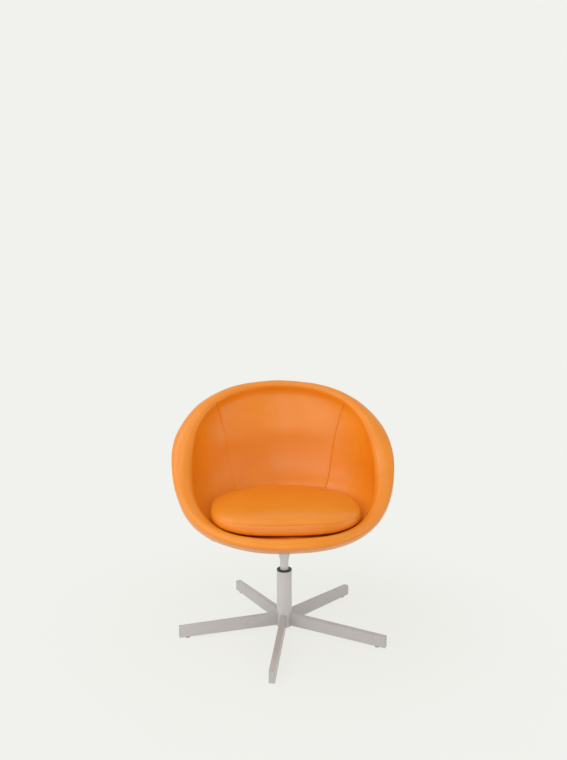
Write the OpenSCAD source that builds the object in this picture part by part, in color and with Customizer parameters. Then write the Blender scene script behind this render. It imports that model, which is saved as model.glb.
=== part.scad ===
// Pedestal swivel armchair: a padded tub shell on a gas lift and a five-bar star base.
// Millimetres, +Z up. The origin is on the floor, on the swivel axis. The seat faces -Y.

/* [Tub shell] */
// Width of the shell over the arms
shell_w = 746; // [680:1:800]
// Reach of the front lip from the swivel axis
shell_front = 304; // [285:1:330]
// Reach of the back from the swivel axis
shell_back = 345; // [325:1:370]
// How far behind the axis the shell is widest
widest_behind = 60; // [30:1:90]
// Height of the shell's flat underside above the floor
underside_h = 305; // [300:1:312]
// Height of the front lip's crest above the flat underside
lip_h = 97; // [93:1:107]
// Height of the back's crest above the flat underside
back_h = 501; // [455:1:555]
// Radius of the flat zone under the shell
flat_r = 125; // [120:1:135]
// Depth of the padded pan below the front lip's crest
pan_drop = 17; // [16:1:20]
// How far in front of the axis the middle of the pan lies
pan_ahead = 10; // [0:1:20]

/* [Shell edge] */
// Thickness of the padded edge at the arms
edge_side_t = 70; // [60:1:76]
// Thickness of the padded edge at the front lip
edge_front_t = 41; // [36:1:46]
// Thickness of the padded edge at the back
edge_back_t = 66; // [56:1:72]
// Rise of the arm edge from its outer line to its crest
edge_side_rise = 20; // [16:1:28]
// Rise of the front lip from its outer line to its crest
edge_front_rise = 24; // [20:1:28]
// Rise of the back edge from its outer line to its crest
edge_back_rise = 33; // [28:1:38]
// Drop of the arm edge from its crest to the inner wall
edge_side_drop = 36; // [28:1:44]
// Drop of the front lip from its crest to the pan
edge_front_drop = 14; // [11:1:15]
// Drop of the back edge from its crest to the inner wall
edge_back_drop = 33; // [28:1:40]

/* [Shell layers] */
// Thickness of the coated fabric cover
cover_t = 1.2; // [0.8:0.1:1.6]
// Thickness of the wadding outside the rigid tub
wadding_t = 5.7; // [4:0.1:7]
// Wall of the rigid moulded tub
tub_t = 6; // [5:0.5:8]
// Gap between neighbouring layers
layer_gap = 0.3; // [0.2:0.05:0.4]
// Gap between the rim of the tub and the foam over it
rim_gap = 1.3; // [1:0.1:2]
// Distance from a plate bolt's middle to the edge of the tub's hole
bolt_margin = 5.2; // [5:0.1:8]
// Distance from the seat board's edge to the edge of the flat zone
board_edge_gap = 1; // [1:0.5:5]
// Thickness of the seat board above the tub
board_t = 12; // [10:0.5:15]
// Clearance of the seat board in the hole of the tub
board_fit = 0.5; // [0.3:0.1:1]

/* [Cushion] */
// Distance of the cushion's side from the inner line of the arm's edge
cushion_side_gap = 63; // [60:1:80]
// Distance of the cushion's front from the inner line of the lip's edge
cushion_front_gap = 35; // [32:1:45]
// Distance of the cushion's rear from the inner line of the back's edge
cushion_rear_gap = 88; // [82:1:100]
// How far in front of the axis the cushion's middle lies
cushion_ahead = 25; // [15:1:30]
// Height of the cushion's fullest line above the pan
cushion_side_h = 28; // [22:1:32]
// Height of the crown above the fullest line
cushion_crown = 42; // [34:1:44]
// Thickness of the grip strips under the cushion
strip_t = 1.8; // [1.5:0.1:3]
// Length of a grip strip
strip_l = 120; // [80:1:160]
// Width of a grip strip
strip_w = 25; // [15:1:40]
// Distance between the two grip strips
strip_pitch = 120; // [80:1:140]

/* [Star base] */
// Reach of a leg from the axis to the outside of its cap
leg_reach = 350; // [300:1:370]
// Width of a leg
leg_w = 18; // [16:0.5:24]
// Height of a leg at the column
leg_hub_h = 38.6; // [34:0.2:44]
// Height of a leg at its tip
leg_tip_h = 34.2; // [30:0.2:40]
// Height of a leg's lower edge at the column
leg_hub_low = 14.7; // [13:0.1:20]
// Height of a leg's lower edge at its tip
leg_tip_low = 3.8; // [3.6:0.1:6]
// Wall of a leg
leg_wall = 2; // [1.5:0.1:3]
// Turn of the front leg from straight ahead, towards the sitter's right
first_leg_turn = 9.2; // [0:0.1:20]
// Thickness of an end cap's face
cap_face_t = 3; // [2:0.1:4]
// Length of an end cap's plug inside the leg
cap_plug_l = 12; // [8:0.5:14]
// Clearance of a plug in the leg
cap_fit = 0.2; // [0.1:0.05:0.3]
// Distance of a glide's middle from the outer end of its leg
glide_inset = 28; // [24:1:40]
// Diameter of a glide
glide_d = 14; // [12:0.5:17]
// Diameter of a glide's stem
glide_stem_d = 6; // [5:0.5:8]
// Length of a glide's stem above its foot
glide_stem_l = 10; // [8:0.5:12]

/* [Column] */
// Outer diameter of the column
column_d = 50; // [48:0.5:54]
// Wall of the column
column_wall = 2; // [1.5:0.1:2.5]
// Height of the column's lower end above the floor
column_low = 9; // [8.6:0.1:11]
// Gap between the column's collar and the socket when the seat is lowest
collar_gap = 13; // [8:1:20]
// Thickness of the plate that closes the column
end_plate_t = 5; // [4:0.5:6]
// Height of the bush's collar above the column
collar_h = 4; // [3:0.5:6]
// Length of the bush's sleeve in the column
bush_l = 90; // [60:1:100]
// Running clearance between the bush and the gas cylinder, on the radius
bush_fit = 0.2; // [0.1:0.05:0.3]
// Clearance of the bush and the end plate in the column, on the radius
column_fit = 0.1; // [0.05:0.05:0.2]

/* [Gas lift] */
// Outer diameter of the gas cylinder
gas_d = 28; // [27:0.5:30]
// Wall of the gas cylinder
gas_wall = 1.5; // [1.2:0.1:2]
// How far the seat can be lowered
lift_drop = 20; // [10:1:25]
// How far the seat can be raised
lift_rise = 80; // [60:1:85]
// Gap left at either end of the lift's travel
stop_gap = 0.5; // [0.3:0.1:1]
// Distance of the gas cylinder's top below the top of its socket
gas_inset = 0.5; // [0.3:0.1:1.5]
// How much narrower the gas cylinder is at the top of its taper
taper_drop = 2; // [1.5:0.1:2.5]
// Thickness of the guide that closes the cylinder's lower end
gland_t = 15; // [12:1:16]
// Length of the valve body in the cylinder's upper end
valve_l = 30; // [26:1:34]
// Clearance of the parts inside the cylinder, on the radius
inside_fit = 0.1; // [0.05:0.05:0.2]
// Diameter of the piston rod
rod_d = 10; // [8:0.5:11]
// Running clearance round the piston rod, on the radius
rod_fit = 0.3; // [0.2:0.05:0.4]
// Length of the piston rod below its clip
rod_past = 2.6; // [2:0.1:3]
// Thickness of the piston
piston_t = 12; // [10:0.5:14]
// Thickness of the seal ring round the piston
seal_t = 3; // [2:0.2:4]
// Depth of the seal ring's groove
seal_depth = 2; // [1.5:0.1:2.5]
// Diameter of the release pin
pin_d = 6; // [5:0.5:6]
// Length of the release pin
pin_l = 40; // [36:1:42]
// Height of the release pin above the gas cylinder
pin_rise = 6; // [5.5:0.1:6.5]

/* [Thrust bearing] */
// Outer diameter of the bearing washers
race_d = 32; // [30:0.5:36]
// Thickness of a bearing washer
race_t = 2; // [1.5:0.1:2.5]
// Diameter of a bearing ball
ball_d = 4; // [3.5:0.1:4.5]
// Number of balls
ball_count = 8; // [6:1:10]
// Clearance above and below a ball
ball_gap = 0.05; // [0.02:0.01:0.1]
// Thickness of the ball cage
cage_t = 2; // [1.5:0.1:2.5]
// Clearance round a ball in its cage, on the radius
cage_fit = 0.2; // [0.1:0.05:0.3]
// Outer diameter of the bump stop
bump_d = 24; // [20:0.5:26]
// Height of the bump stop
bump_h = 22; // [18:1:24]
// Outer diameter of the retaining clip
clip_d = 18; // [16:0.5:20]
// Thickness of the retaining clip
clip_t = 1; // [0.8:0.1:1.2]
// Depth of the groove for the clip
clip_groove = 1; // [0.8:0.1:1.2]
// Running gap between the clip and the end plate
clip_gap = 0.4; // [0.3:0.1:0.5]
// Width of the clip's mouth
clip_mouth = 7; // [6:0.5:8]

/* [Seat plate] */
// Distance from the square seat plate's corners to the edge of the flat zone
plate_edge_gap = 1.5; // [1:0.5:5]
// Corner radius of the seat plate
plate_corner_r = 24; // [20:1:30]
// Thickness of the seat plate
plate_t = 3; // [2.5:0.1:4]
// Length of the pressed box, across the seat
box_l = 110; // [100:1:116]
// Width of the pressed box, fore and aft
box_w = 70; // [60:1:76]
// Depth of the pressed box
box_h = 25; // [24:0.5:26]
// Corner radius of the pressed box
box_corner_r = 8; // [6:0.5:12]
// Sheet thickness of the pressed box
box_t = 2; // [1.5:0.1:2.5]
// Length of the socket below the pressed box
socket_l = 48.5; // [46:0.5:51]
// Wall of the socket's body round the gas cylinder
socket_wall = 4; // [3.5:0.5:6]
// Wall of the socket at its lower rim
socket_rim_wall = 1; // [0.8:0.1:2]
// Height over which the socket widens
socket_flare = 14; // [12:0.5:20]
// Clearance between the taper and its socket, on the radius
taper_fit = 0.05; // [0.02:0.01:0.1]
// Distance between the plate bolts
bolt_pitch = 120; // [112:1:122]
// Diameter of a bolt's shank
bolt_d = 6; // [5:0.5:6]
// Clearance round a bolt's shank, on the radius
bolt_fit = 0.3; // [0.2:0.05:0.4]
// Length of a bolt's shank
bolt_l = 18; // [16:0.5:20]
// Diameter of a bolt's head
bolt_head_d = 11; // [10:0.5:12]
// Height of a bolt's head
bolt_head_h = 4; // [3:0.5:5]
// Diameter of a bolt's hexagon socket
bolt_hex_d = 5; // [4:0.5:6]
// Diameter of a washer
washer_d = 15; // [13:0.5:16]
// Thickness of a washer
washer_t = 1.2; // [0.8:0.1:1.6]
// Outer diameter of a tee nut's barrel
tee_d = 8; // [7.5:0.1:8.5]
// Diameter of a tee nut's flange
tee_flange_d = 20; // [18:0.5:22]
// Thickness of a tee nut's flange
tee_flange_t = 1.5; // [1:0.1:2]
// Length of a tee nut's barrel
tee_l = 9; // [8:0.5:10]

/* [Release lever] */
// Distance of the lever's pivot from the end wall of the pressed box
pivot_inset = 15; // [14:0.5:17]
// Diameter of the pivot pin
pivot_d = 6; // [5:0.5:6.5]
// Clearance round the pivot pin, on the radius
pivot_fit = 0.2; // [0.1:0.05:0.3]
// Outer diameter of the lever's eye
eye_d = 13; // [12:0.5:14]
// Width of the lever's steel strip
lever_w = 12; // [8:0.5:13]
// Thickness of the lever's steel strip
lever_t = 5; // [4:0.5:6]
// Length of the strip beyond the axis
arm_past = 7; // [5:0.5:9]
// Gap between the strip and the release pin
arm_gap = 0.4; // [0.3:0.05:0.5]
// Distance of the strip's low bend from the axis
bend_out = 120; // [110:1:122]
// Drop of the strip's low bend below the shell's underside
bend_drop = 20; // [19:1:25]
// Distance of the strip's outer bend from the axis
rise_out = 190; // [180:1:196]
// Drop of the strip's outer bend below the shell's underside
rise_drop = 12; // [9:1:15]
// Distance of the grip's outer end from the axis
grip_out = 246; // [236:1:248]
// Rise of the grip's outer end above the shell's underside
grip_rise = 12; // [7:0.5:13]
// Width of the grip
grip_w = 26; // [20:1:30]
// Thickness of the grip
grip_t = 9; // [8.5:0.1:9.5]
// Wall of the grip beyond the end of the strip
grip_end_wall = 12; // [8:1:16]
// Distance from the strip's outer bend to the start of the grip
grip_start = 8; // [5:0.5:12]
// Clearance of the strip in the grip, on each side
grip_fit = 0.05; // [0.02:0.01:0.1]
// Clearance of the lever in the slot of the box, on each side
slot_fit = 1; // [0.8:0.1:1.5]

/* [Hidden] */
$fn = 48;

// How far a cut runs past the face that it opens
over = 1;
leg_count = 5;

// Shares that shape the shell: the plan's roundness, the fall of the arms and the walls' fullness
plan_share = 1.95;
arm_dip_share = -0.27;
arm_swing_share = -0.58;
wall_front_share = 1.18;
wall_side_share = 1.93;
wall_back_share = 2.3;
inside_front_share = 3;
inside_side_share = 4;
inside_back_share = 4.5;

// Share of the lever's slot that lies below the pivot
slot_low_share = 0.6;

// Steps round the shell, and where its layers are cut: 0 to 1 is the outside, 1 to 2 the padded
// edge and 2 to 3 the inside
round_steps = 48;
outside_shares = [0, 0.16, 0.3, 0.43, 0.55, 0.67, 0.79, 0.9, 1];
edge_shares = [1.02, 1.25, 1.5, 1.75, 2];
inside_shares = [2.22, 2.44, 2.62, 2.78, 2.89, 2.96];

// Panels of the lining and blocks of foam: the steps at the seams of the back and of the front,
// and where the pan starts
back_seam_step = 6;
front_seam_step = -7;
pan_seam_share = 2.78;

// Cushion: plan roundness in front and behind, fullness above and below, and the rows of its panels
// from crown to underside
cushion_steps = 40;
cushion_front_share = 3.3;
cushion_rear_share = 2.05;
cushion_top_share = 4;
cushion_under_front_share = 7;
cushion_under_side_share = 2.2;
cushion_top_shares = [0.22, 0.42, 0.6, 0.76];
cushion_border_shares = [0.76, 0.9, 1, 1.15, 1.35];
base_panel_share = 1.35;

step_angle = 360 / round_steps;
shell_angles = [for (k = [0 : round_steps - 1]) (k + 0.5) * step_angle];
pan_h = underside_h + lip_h - pan_drop;
foam_depth = cover_t + layer_gap;
tub_out_depth = foam_depth + wadding_t + layer_gap;
tub_in_depth = tub_out_depth + tub_t;
tub_low = underside_h + tub_out_depth;
tub_floor = tub_low + tub_t;
tub_hole_r = bolt_pitch / sqrt(2) + bolt_margin;
board_top = tub_floor + board_t;
board_r = flat_r - board_edge_gap;

function signed_power(v, p) = sign(v) * pow(abs(v), p);
function by_angle(a, front, side, back) =
    side + ((sin(a) < 0 ? front : back) - side) * sin(a) * sin(a);
function plan_depth(a) = sin(a) < 0 ? widest_behind + shell_front : shell_back - widest_behind;

// Outermost line of the shell in plan, its outward direction and the crest's height
function edge_plan(a) = [shell_w / 2 * signed_power(cos(a), 2 / plan_share),
                         widest_behind + plan_depth(a) * signed_power(sin(a), 2 / plan_share)];
function edge_out(a) =
    let (x = signed_power(cos(a), 2 - 2 / plan_share) / (shell_w / 2),
         y = signed_power(sin(a), 2 - 2 / plan_share) / plan_depth(a))
    [x, y] / norm([x, y]);
function crest_h(a) =
    let (t = (edge_plan(a)[1] + shell_front) / (shell_front + shell_back))
    underside_h + lip_h
    + (back_h - lip_h) * (t + t * (1 - t) * (arm_dip_share + arm_swing_share * (1 - 2 * t)));

// Outside of the shell, u from 0 at the flat underside to 1 at the outermost line. A layer at a
// depth under it ends at the same height, so that layers nest and never fold
function outside(a, u, depth = 0) =
    let (e = edge_plan(a),
         n = by_angle(a, wall_front_share, wall_side_share, wall_back_share),
         low = e / norm(e) * flat_r,
         base = underside_h + depth,
         top = crest_h(a) - by_angle(a, edge_front_rise, edge_side_rise, edge_back_rise),
         xy = low + (e - edge_out(a) * depth - low) * pow(sin(90 * u), 2 / n))
    [xy[0], xy[1], base + (top - base) * (1 - pow(cos(90 * u), 2 / n))];

// Padded edge, u from 0 at the outermost line, over the crest, to 1 at the inner wall
function edge_roll(a, u) =
    let (xy = edge_plan(a) - edge_out(a) * by_angle(a, edge_front_t, edge_side_t, edge_back_t)
              * (1 - cos(180 * u)) / 2,
         h = u < 0.5 ? by_angle(a, edge_front_rise, edge_side_rise, edge_back_rise)
                     : by_angle(a, edge_front_drop, edge_side_drop, edge_back_drop))
    [xy[0], xy[1], crest_h(a) - h * (1 - sin(180 * u))];

// Inside of the shell, u from 0 at the padded edge to 1 at the middle of the pan
function inside(a, u) =
    let (i = edge_roll(a, 1),
         n = by_angle(a, inside_front_share, inside_side_share, inside_back_share),
         f = pow(max(0, cos(90 * u)), 2 / n),
         g = 1 - pow(max(0, sin(90 * u)), 2 / n))
    [i[0] * f, -pan_ahead + (i[1] + pan_ahead) * f, pan_h + (i[2] - pan_h) * g];

function shell_point(a, s) = s <= 1 ? outside(a, s) : s <= 2 ? edge_roll(a, s - 1) : inside(a, s - 2);

// Point of the layer at a depth below the shell's surface
function layer(a, s, depth) = s <= 1 ? outside(a, s, depth) : below_surface(a, s, depth);
function below_surface(a, s, depth) =
    let (da = 0.2, ds = 0.004,
         s1 = min(3, s + ds),
         n = cross(shell_point(a + da, s) - shell_point(a - da, s),
                   shell_point(a, s1) - shell_point(a, s - ds)))
    shell_point(a, s) - n / norm(n) * depth;
function layer_ring(s, depth) = [for (a = shell_angles) layer(a, s, depth)];
function panel_row(s, first, last, depth) =
    [for (k = [first : last]) layer((k + 0.5) * step_angle, s, depth)];
function opposite_step(k) = round_steps / 2 - 1 - k;
function disc_ring(r, z) =
    [for (a = shell_angles) let (e = edge_plan(a) / norm(edge_plan(a)) * r) [e[0], e[1], z]];
function reversed(v) = [for (k = [len(v) - 1 : -1 : 0]) v[k]];
function flat_list(v) = [for (row = v) for (p = row) p];
function starts(rows, k = 0, total = 0) =
    k == len(rows) ? [] : concat([total], starts(rows, k + 1, total + len(rows[k])));

// Faces between two neighbouring rings, either of which may be a single point. Where the rings
// run backwards, the faces are cut along the other diagonal, so that layers lie parallel
function ring_faces(n1, o1, n2, o2, backwards) =
    let (n = max(n1, n2))
    [for (k = [0 : n - 1])
        let (j = (k + 1) % n)
        each backwards && n1 > 1 && n2 > 1
            ? [[o1 + k, o2 + k, o2 + j], [o1 + k, o2 + j, o1 + j]]
            : [if (n1 > 1) [o1 + k, n2 > 1 ? o2 + k : o2, o1 + j],
               if (n2 > 1) [n1 > 1 ? o1 + j : o1, o2 + k, o2 + j]]];

// Closed solid through a list of rings, of which those from back[0] to back[1] run backwards
module rings(rows, looped = false, back = [0, 0]) {
    o = starts(rows);
    last = looped ? len(rows) - 1 : len(rows) - 2;
    faces = [for (i = [0 : last])
        let (m = (i + 1) % len(rows))
        each ring_faces(len(rows[i]), o[i], len(rows[m]), o[m], i >= back[0] && i < back[1])];
    polyhedron(points = flat_list(rows), faces = faces);
}

// Solid between two equal grids of points. Where the lower grid's rows run backwards over the
// shell, its faces are cut along the other diagonal
module patch(top, under, backwards = false) {
    rows = len(top);
    cols = len(top[0]);
    size = rows * cols;
    upper = [for (i = [0 : rows - 2]) for (j = [0 : cols - 2])
        let (p = i * cols + j)
        each [[p, p + cols, p + 1], [p + 1, p + cols, p + cols + 1]]];
    lower = [for (i = [0 : rows - 2]) for (j = [0 : cols - 2])
        let (p = size + i * cols + j)
        each backwards ? [[p, p + 1, p + cols + 1], [p, p + cols + 1, p + cols]]
                       : [[p, p + 1, p + cols], [p + 1, p + cols + 1, p + cols]]];
    row_walls = [for (j = [0 : cols - 2])
        let (p = j, q = (rows - 1) * cols + j)
        each [[p, p + 1, p + size], [p + 1, p + 1 + size, p + size],
              [q, q + size, q + 1], [q + 1, q + size, q + 1 + size]]];
    col_walls = [for (i = [0 : rows - 2])
        let (p = i * cols, q = i * cols + cols - 1)
        each [[p, p + size, p + cols], [p + cols, p + size, p + cols + size],
              [q, q + cols, q + size], [q + cols, q + cols + size, q + size]]];
    polyhedron(points = concat(flat_list(top), flat_list(under)),
               faces = concat(upper, lower, row_walls, col_walls));
}

// Tube of a constant wall
module tube(d, wall, h) {
    difference() {
        cylinder(d = d, h = h);
        translate([0, 0, -over]) cylinder(d = d - 2 * wall, h = h + 2 * over);
    }
}

// Square prism with round corners, centred on the axis
module rounded_slab(x, y, r, h) {
    linear_extrude(h) union() {
        square([x - 2 * r, y], center = true);
        square([x, y - 2 * r], center = true);
        for (i = [-1, 1]) for (j = [-1, 1]) translate([i * (x / 2 - r), j * (y / 2 - r)]) circle(r = r);
    }
}

// Star base
leg_run = leg_reach - cap_face_t;
function along_leg(hub, tip, r) = hub + (tip - hub) * (r - column_d / 2) / (leg_reach - column_d / 2);
function leg_low_at(r) = along_leg(leg_hub_low, leg_tip_low, r);
function leg_top_at(r) = along_leg(leg_hub_low + leg_hub_h, leg_tip_low + leg_tip_h, r);
glide_reach = leg_reach - glide_inset;
glide_top = leg_low_at(glide_reach + glide_d / 2);

module on_leg(k) {
    rotate([0, 0, -90 - first_leg_turn + (k - 1) * 360 / leg_count]) children();
}

module leg_side(r0, r1, inset) {
    polygon([[r0, leg_low_at(r0) + inset], [r1, leg_low_at(r1) + inset],
             [r1, leg_top_at(r1) - inset], [r0, leg_top_at(r0) - inset]]);
}

module leg_slab(r0, r1, inset) {
    rotate([90, 0, 0]) translate([0, 0, inset - leg_w / 2])
        linear_extrude(leg_w - 2 * inset) leg_side(r0, r1, inset);
}

module leg(k) {
    color("silver") on_leg(k) difference() {
        leg_slab(0, leg_run, 0);
        leg_slab(0, leg_run + over, leg_wall);
        translate([0, 0, -over]) cylinder(d = column_d, h = column_top);
        translate([glide_reach, 0, -over])
            cylinder(d = glide_stem_d + 2 * cap_fit, h = glide_top + glide_stem_l);
    }
}

module leg_cap(k) {
    color("lightgray") on_leg(k) {
        leg_slab(leg_run, leg_reach, 0);
        leg_slab(leg_run - cap_plug_l, leg_run, leg_wall + cap_fit);
    }
}

module glide(k) {
    color("dimgray") on_leg(k) translate([glide_reach, 0, 0]) {
        cylinder(d = glide_d, h = glide_top);
        cylinder(d = glide_stem_d, h = glide_top + glide_stem_l);
    }
}

// Heights of the pressed box under the seat, of the socket below it and of the column's upper end
plate_low = tub_low - plate_t;
box_low = plate_low - box_h;
socket_low = box_low - socket_l;
column_top = socket_low - lift_drop - collar_gap - collar_h;

// Column
plate_top = column_low + end_plate_t;
column_bore = column_d - 2 * column_wall;

module column_tube() {
    color("silver") translate([0, 0, column_low]) tube(column_d, column_wall, column_top - column_low);
}

module column_end_plate() {
    color("gray") translate([0, 0, column_low]) difference() {
        cylinder(d = column_bore - 2 * column_fit, h = end_plate_t);
        translate([0, 0, -over]) cylinder(d = rod_d + 2 * rod_fit, h = end_plate_t + 2 * over);
    }
}

module guide_bush() {
    color("black") difference() {
        union() {
            translate([0, 0, column_top]) cylinder(d = column_d, h = collar_h);
            translate([0, 0, column_top - bush_l]) cylinder(d = column_bore - 2 * column_fit, h = bush_l);
        }
        translate([0, 0, column_top - bush_l - over])
            cylinder(d = gas_d + 2 * bush_fit, h = bush_l + collar_h + 2 * over);
    }
}

// Thrust bearing and piston rod
ball_low = plate_top + race_t + ball_gap;
race_high = ball_low + ball_d + ball_gap;
bump_low = race_high + race_t;
ball_circle_d = (race_d + rod_d) / 2 + rod_fit;
clip_top = column_low - clip_gap;
rod_low = clip_top - clip_t - rod_past;
gas_low = bump_low + bump_h + lift_drop + stop_gap;
piston_low = gas_low + gland_t + lift_rise + stop_gap;

module race(z) {
    color("gainsboro") translate([0, 0, z]) difference() {
        cylinder(d = race_d, h = race_t);
        translate([0, 0, -over]) cylinder(d = rod_d + 2 * rod_fit, h = race_t + 2 * over);
    }
}

module ball_places() {
    for (k = [0 : ball_count - 1]) rotate([0, 0, k * 360 / ball_count])
        translate([ball_circle_d / 2, 0, ball_low + ball_d / 2]) children();
}

module bearing_balls() {
    color("silver") ball_places() sphere(d = ball_d);
}

module ball_cage() {
    color("goldenrod") difference() {
        translate([0, 0, ball_low + (ball_d - cage_t) / 2]) difference() {
            cylinder(d = race_d, h = cage_t);
            translate([0, 0, -over]) cylinder(d = rod_d + 2 * rod_fit, h = cage_t + 2 * over);
        }
        ball_places() cylinder(d = ball_d + 2 * cage_fit, h = ball_d, center = true);
    }
}

module bump_stop() {
    color("dimgray") translate([0, 0, bump_low]) difference() {
        cylinder(d = bump_d, h = bump_h);
        translate([0, 0, -over]) cylinder(d = rod_d, h = bump_h + 2 * over);
    }
}

module piston_rod() {
    color("gainsboro") difference() {
        translate([0, 0, rod_low]) cylinder(d = rod_d, h = piston_low - rod_low);
        translate([0, 0, clip_top - clip_t]) difference() {
            cylinder(d = rod_d + 2 * over, h = clip_t);
            translate([0, 0, -over]) cylinder(d = rod_d - 2 * clip_groove, h = clip_t + 2 * over);
        }
    }
}

module retaining_clip() {
    color("gray") translate([0, 0, clip_top - clip_t]) difference() {
        cylinder(d = clip_d, h = clip_t);
        translate([0, 0, -over]) cylinder(d = rod_d - 2 * clip_groove, h = clip_t + 2 * over);
        translate([-clip_mouth / 2, 0, -over]) cube([clip_mouth, clip_d, clip_t + 2 * over]);
    }
}

// Gas lift
gas_top = box_low + 2 * box_t - gas_inset;
taper_d = gas_d - taper_drop;
gas_bore = gas_d - 2 * gas_wall;
piston_d = gas_bore - 2 * inside_fit;

module piston() {
    color("silver") translate([0, 0, piston_low]) difference() {
        cylinder(d = piston_d, h = piston_t);
        translate([0, 0, (piston_t - seal_t) / 2]) difference() {
            cylinder(d = gas_d, h = seal_t);
            translate([0, 0, -over]) cylinder(d = piston_d - 2 * seal_depth, h = seal_t + 2 * over);
        }
    }
}

module piston_seal() {
    color("black") translate([0, 0, piston_low + (piston_t - seal_t) / 2]) difference() {
        cylinder(d = piston_d, h = seal_t);
        translate([0, 0, -over]) cylinder(d = piston_d - 2 * seal_depth, h = seal_t + 2 * over);
    }
}

module gas_taper(extra) {
    cylinder(d1 = gas_d + 2 * extra, d2 = taper_d + 2 * extra, h = gas_top - socket_low);
}

module gas_cylinder() {
    color("silver") difference() {
        union() {
            translate([0, 0, gas_low]) cylinder(d = gas_d, h = socket_low - gas_low);
            translate([0, 0, socket_low]) gas_taper(0);
        }
        translate([0, 0, gas_low - over])
            cylinder(d = gas_bore, h = gas_top - gas_wall - gas_low + over - valve_l);
        translate([0, 0, gas_top - gas_wall - valve_l]) cylinder(d = taper_d - 2 * gas_wall, h = valve_l);
        cylinder(d = pin_d + 2 * inside_fit, h = gas_top + over);
    }
}

module cylinder_gland() {
    color("dimgray") translate([0, 0, gas_low]) difference() {
        cylinder(d = gas_bore, h = gland_t);
        translate([0, 0, -over]) cylinder(d = rod_d + 2 * inside_fit, h = gland_t + 2 * over);
    }
}

module valve_body() {
    color("goldenrod") translate([0, 0, gas_top - gas_wall - valve_l]) difference() {
        cylinder(d = taper_d - 2 * gas_wall, h = valve_l);
        translate([0, 0, -over]) cylinder(d = pin_d + 2 * inside_fit, h = valve_l + 2 * over);
    }
}

module release_pin() {
    color("white") translate([0, 0, gas_top + pin_rise - pin_l]) cylinder(d = pin_d, h = pin_l);
}

// Seat plate, with the pressed box and the socket under it
plate_w = sqrt(2) * (flat_r - plate_edge_gap + (sqrt(2) - 1) * plate_corner_r);
socket_d = gas_d + 2 * socket_wall;
socket_rim_d = gas_d + 2 * socket_rim_wall;
pivot_h = gas_top + pin_rise + arm_gap + lever_t / 2;
pivot_out = box_l / 2 - box_t - pivot_inset;
slot_w = lever_w + 2 * slot_fit;
slot_h = eye_d + 2 * slot_fit;

module taper_socket() {
    color("silver") difference() {
        union() {
            translate([0, 0, socket_low]) cylinder(d1 = socket_rim_d, d2 = socket_d, h = socket_flare);
            translate([0, 0, socket_low + socket_flare])
                cylinder(d = socket_d, h = box_low + 2 * box_t - socket_low - socket_flare);
        }
        translate([0, 0, socket_low]) gas_taper(taper_fit);
        cylinder(d = gas_d + 2 * taper_fit, h = socket_low);
        cylinder(d = taper_d + 2 * taper_fit, h = gas_top + over);
    }
}

module mechanism_box() {
    color("dimgray") difference() {
        translate([0, 0, box_low]) rounded_slab(box_l, box_w, box_corner_r, box_h);
        translate([0, 0, box_low + box_t])
            rounded_slab(box_l - 2 * box_t, box_w - 2 * box_t, box_corner_r - box_t, box_h);
        translate([0, 0, box_low - over]) cylinder(d = socket_d, h = box_h);
        translate([-box_l / 2 - over, -slot_w / 2, pivot_h - slot_h * slot_low_share])
            cube([box_t + 2 * over, slot_w, slot_h]);
        translate([-pivot_out, 0, pivot_h]) rotate([90, 0, 0])
            cylinder(d = pivot_d, h = box_w + 2 * over, center = true);
    }
}

module bolt_places() {
    for (i = [-1, 1]) for (j = [-1, 1]) translate([i * bolt_pitch / 2, j * bolt_pitch / 2, 0]) children();
}

module seat_plate() {
    color("dimgray") difference() {
        translate([0, 0, plate_low]) rounded_slab(plate_w, plate_w, plate_corner_r, plate_t);
        bolt_places() translate([0, 0, plate_low - over])
            cylinder(d = bolt_d + 2 * bolt_fit, h = plate_t + 2 * over);
    }
}

module plate_bolts() {
    color("gainsboro") bolt_places() difference() {
        translate([0, 0, plate_low - washer_t]) union() {
            cylinder(d = bolt_d, h = bolt_l);
            translate([0, 0, -bolt_head_h]) cylinder(d = bolt_head_d, h = bolt_head_h);
        }
        translate([0, 0, plate_low - washer_t - bolt_head_h - over])
            cylinder(d = bolt_hex_d, h = bolt_head_h / 2 + over, $fn = 6);
    }
}

module plate_washers() {
    color("silver") bolt_places() translate([0, 0, plate_low - washer_t]) difference() {
        cylinder(d = washer_d, h = washer_t);
        translate([0, 0, -over]) cylinder(d = bolt_d + 2 * bolt_fit, h = washer_t + 2 * over);
    }
}

module tee_nuts() {
    color("gray") bolt_places() translate([0, 0, board_top]) difference() {
        union() {
            cylinder(d = tee_flange_d, h = tee_flange_t);
            translate([0, 0, -tee_l]) cylinder(d = tee_d, h = tee_l);
        }
        translate([0, 0, -tee_l - over]) cylinder(d = bolt_d, h = tee_l + tee_flange_t + 2 * over);
    }
}

module seat_board() {
    color("burlywood") difference() {
        union() {
            translate([0, 0, tub_low]) cylinder(r = tub_hole_r - board_fit, h = tub_t);
            translate([0, 0, tub_floor]) cylinder(r = board_r, h = board_t);
        }
        bolt_places() translate([0, 0, tub_low - over]) cylinder(d = tee_d, h = tub_t + board_t + 2 * over);
    }
}

// Release lever
module lever_pivot_pin() {
    color("silver") translate([-pivot_out, 0, pivot_h]) rotate([90, 0, 0])
        cylinder(d = pivot_d, h = box_w, center = true);
}

// Frame of the lever's plane: first axis outwards from the swivel axis, second axis up
module lever_plane() {
    mirror([1, 0, 0]) rotate([90, 0, 0]) children();
}

bend_h = underside_h - bend_drop;
rise_h = underside_h - rise_drop;
grip_run = [grip_out - rise_out, rise_drop + grip_rise];
grip_l = norm(grip_run);
grip_angle = atan2(grip_run[1], grip_run[0]);
lever_line = [[-arm_past, pivot_h], [pivot_out, pivot_h], [bend_out, bend_h], [rise_out, rise_h],
              [rise_out, rise_h] + grip_run / grip_l * (grip_l - grip_end_wall)];

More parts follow.
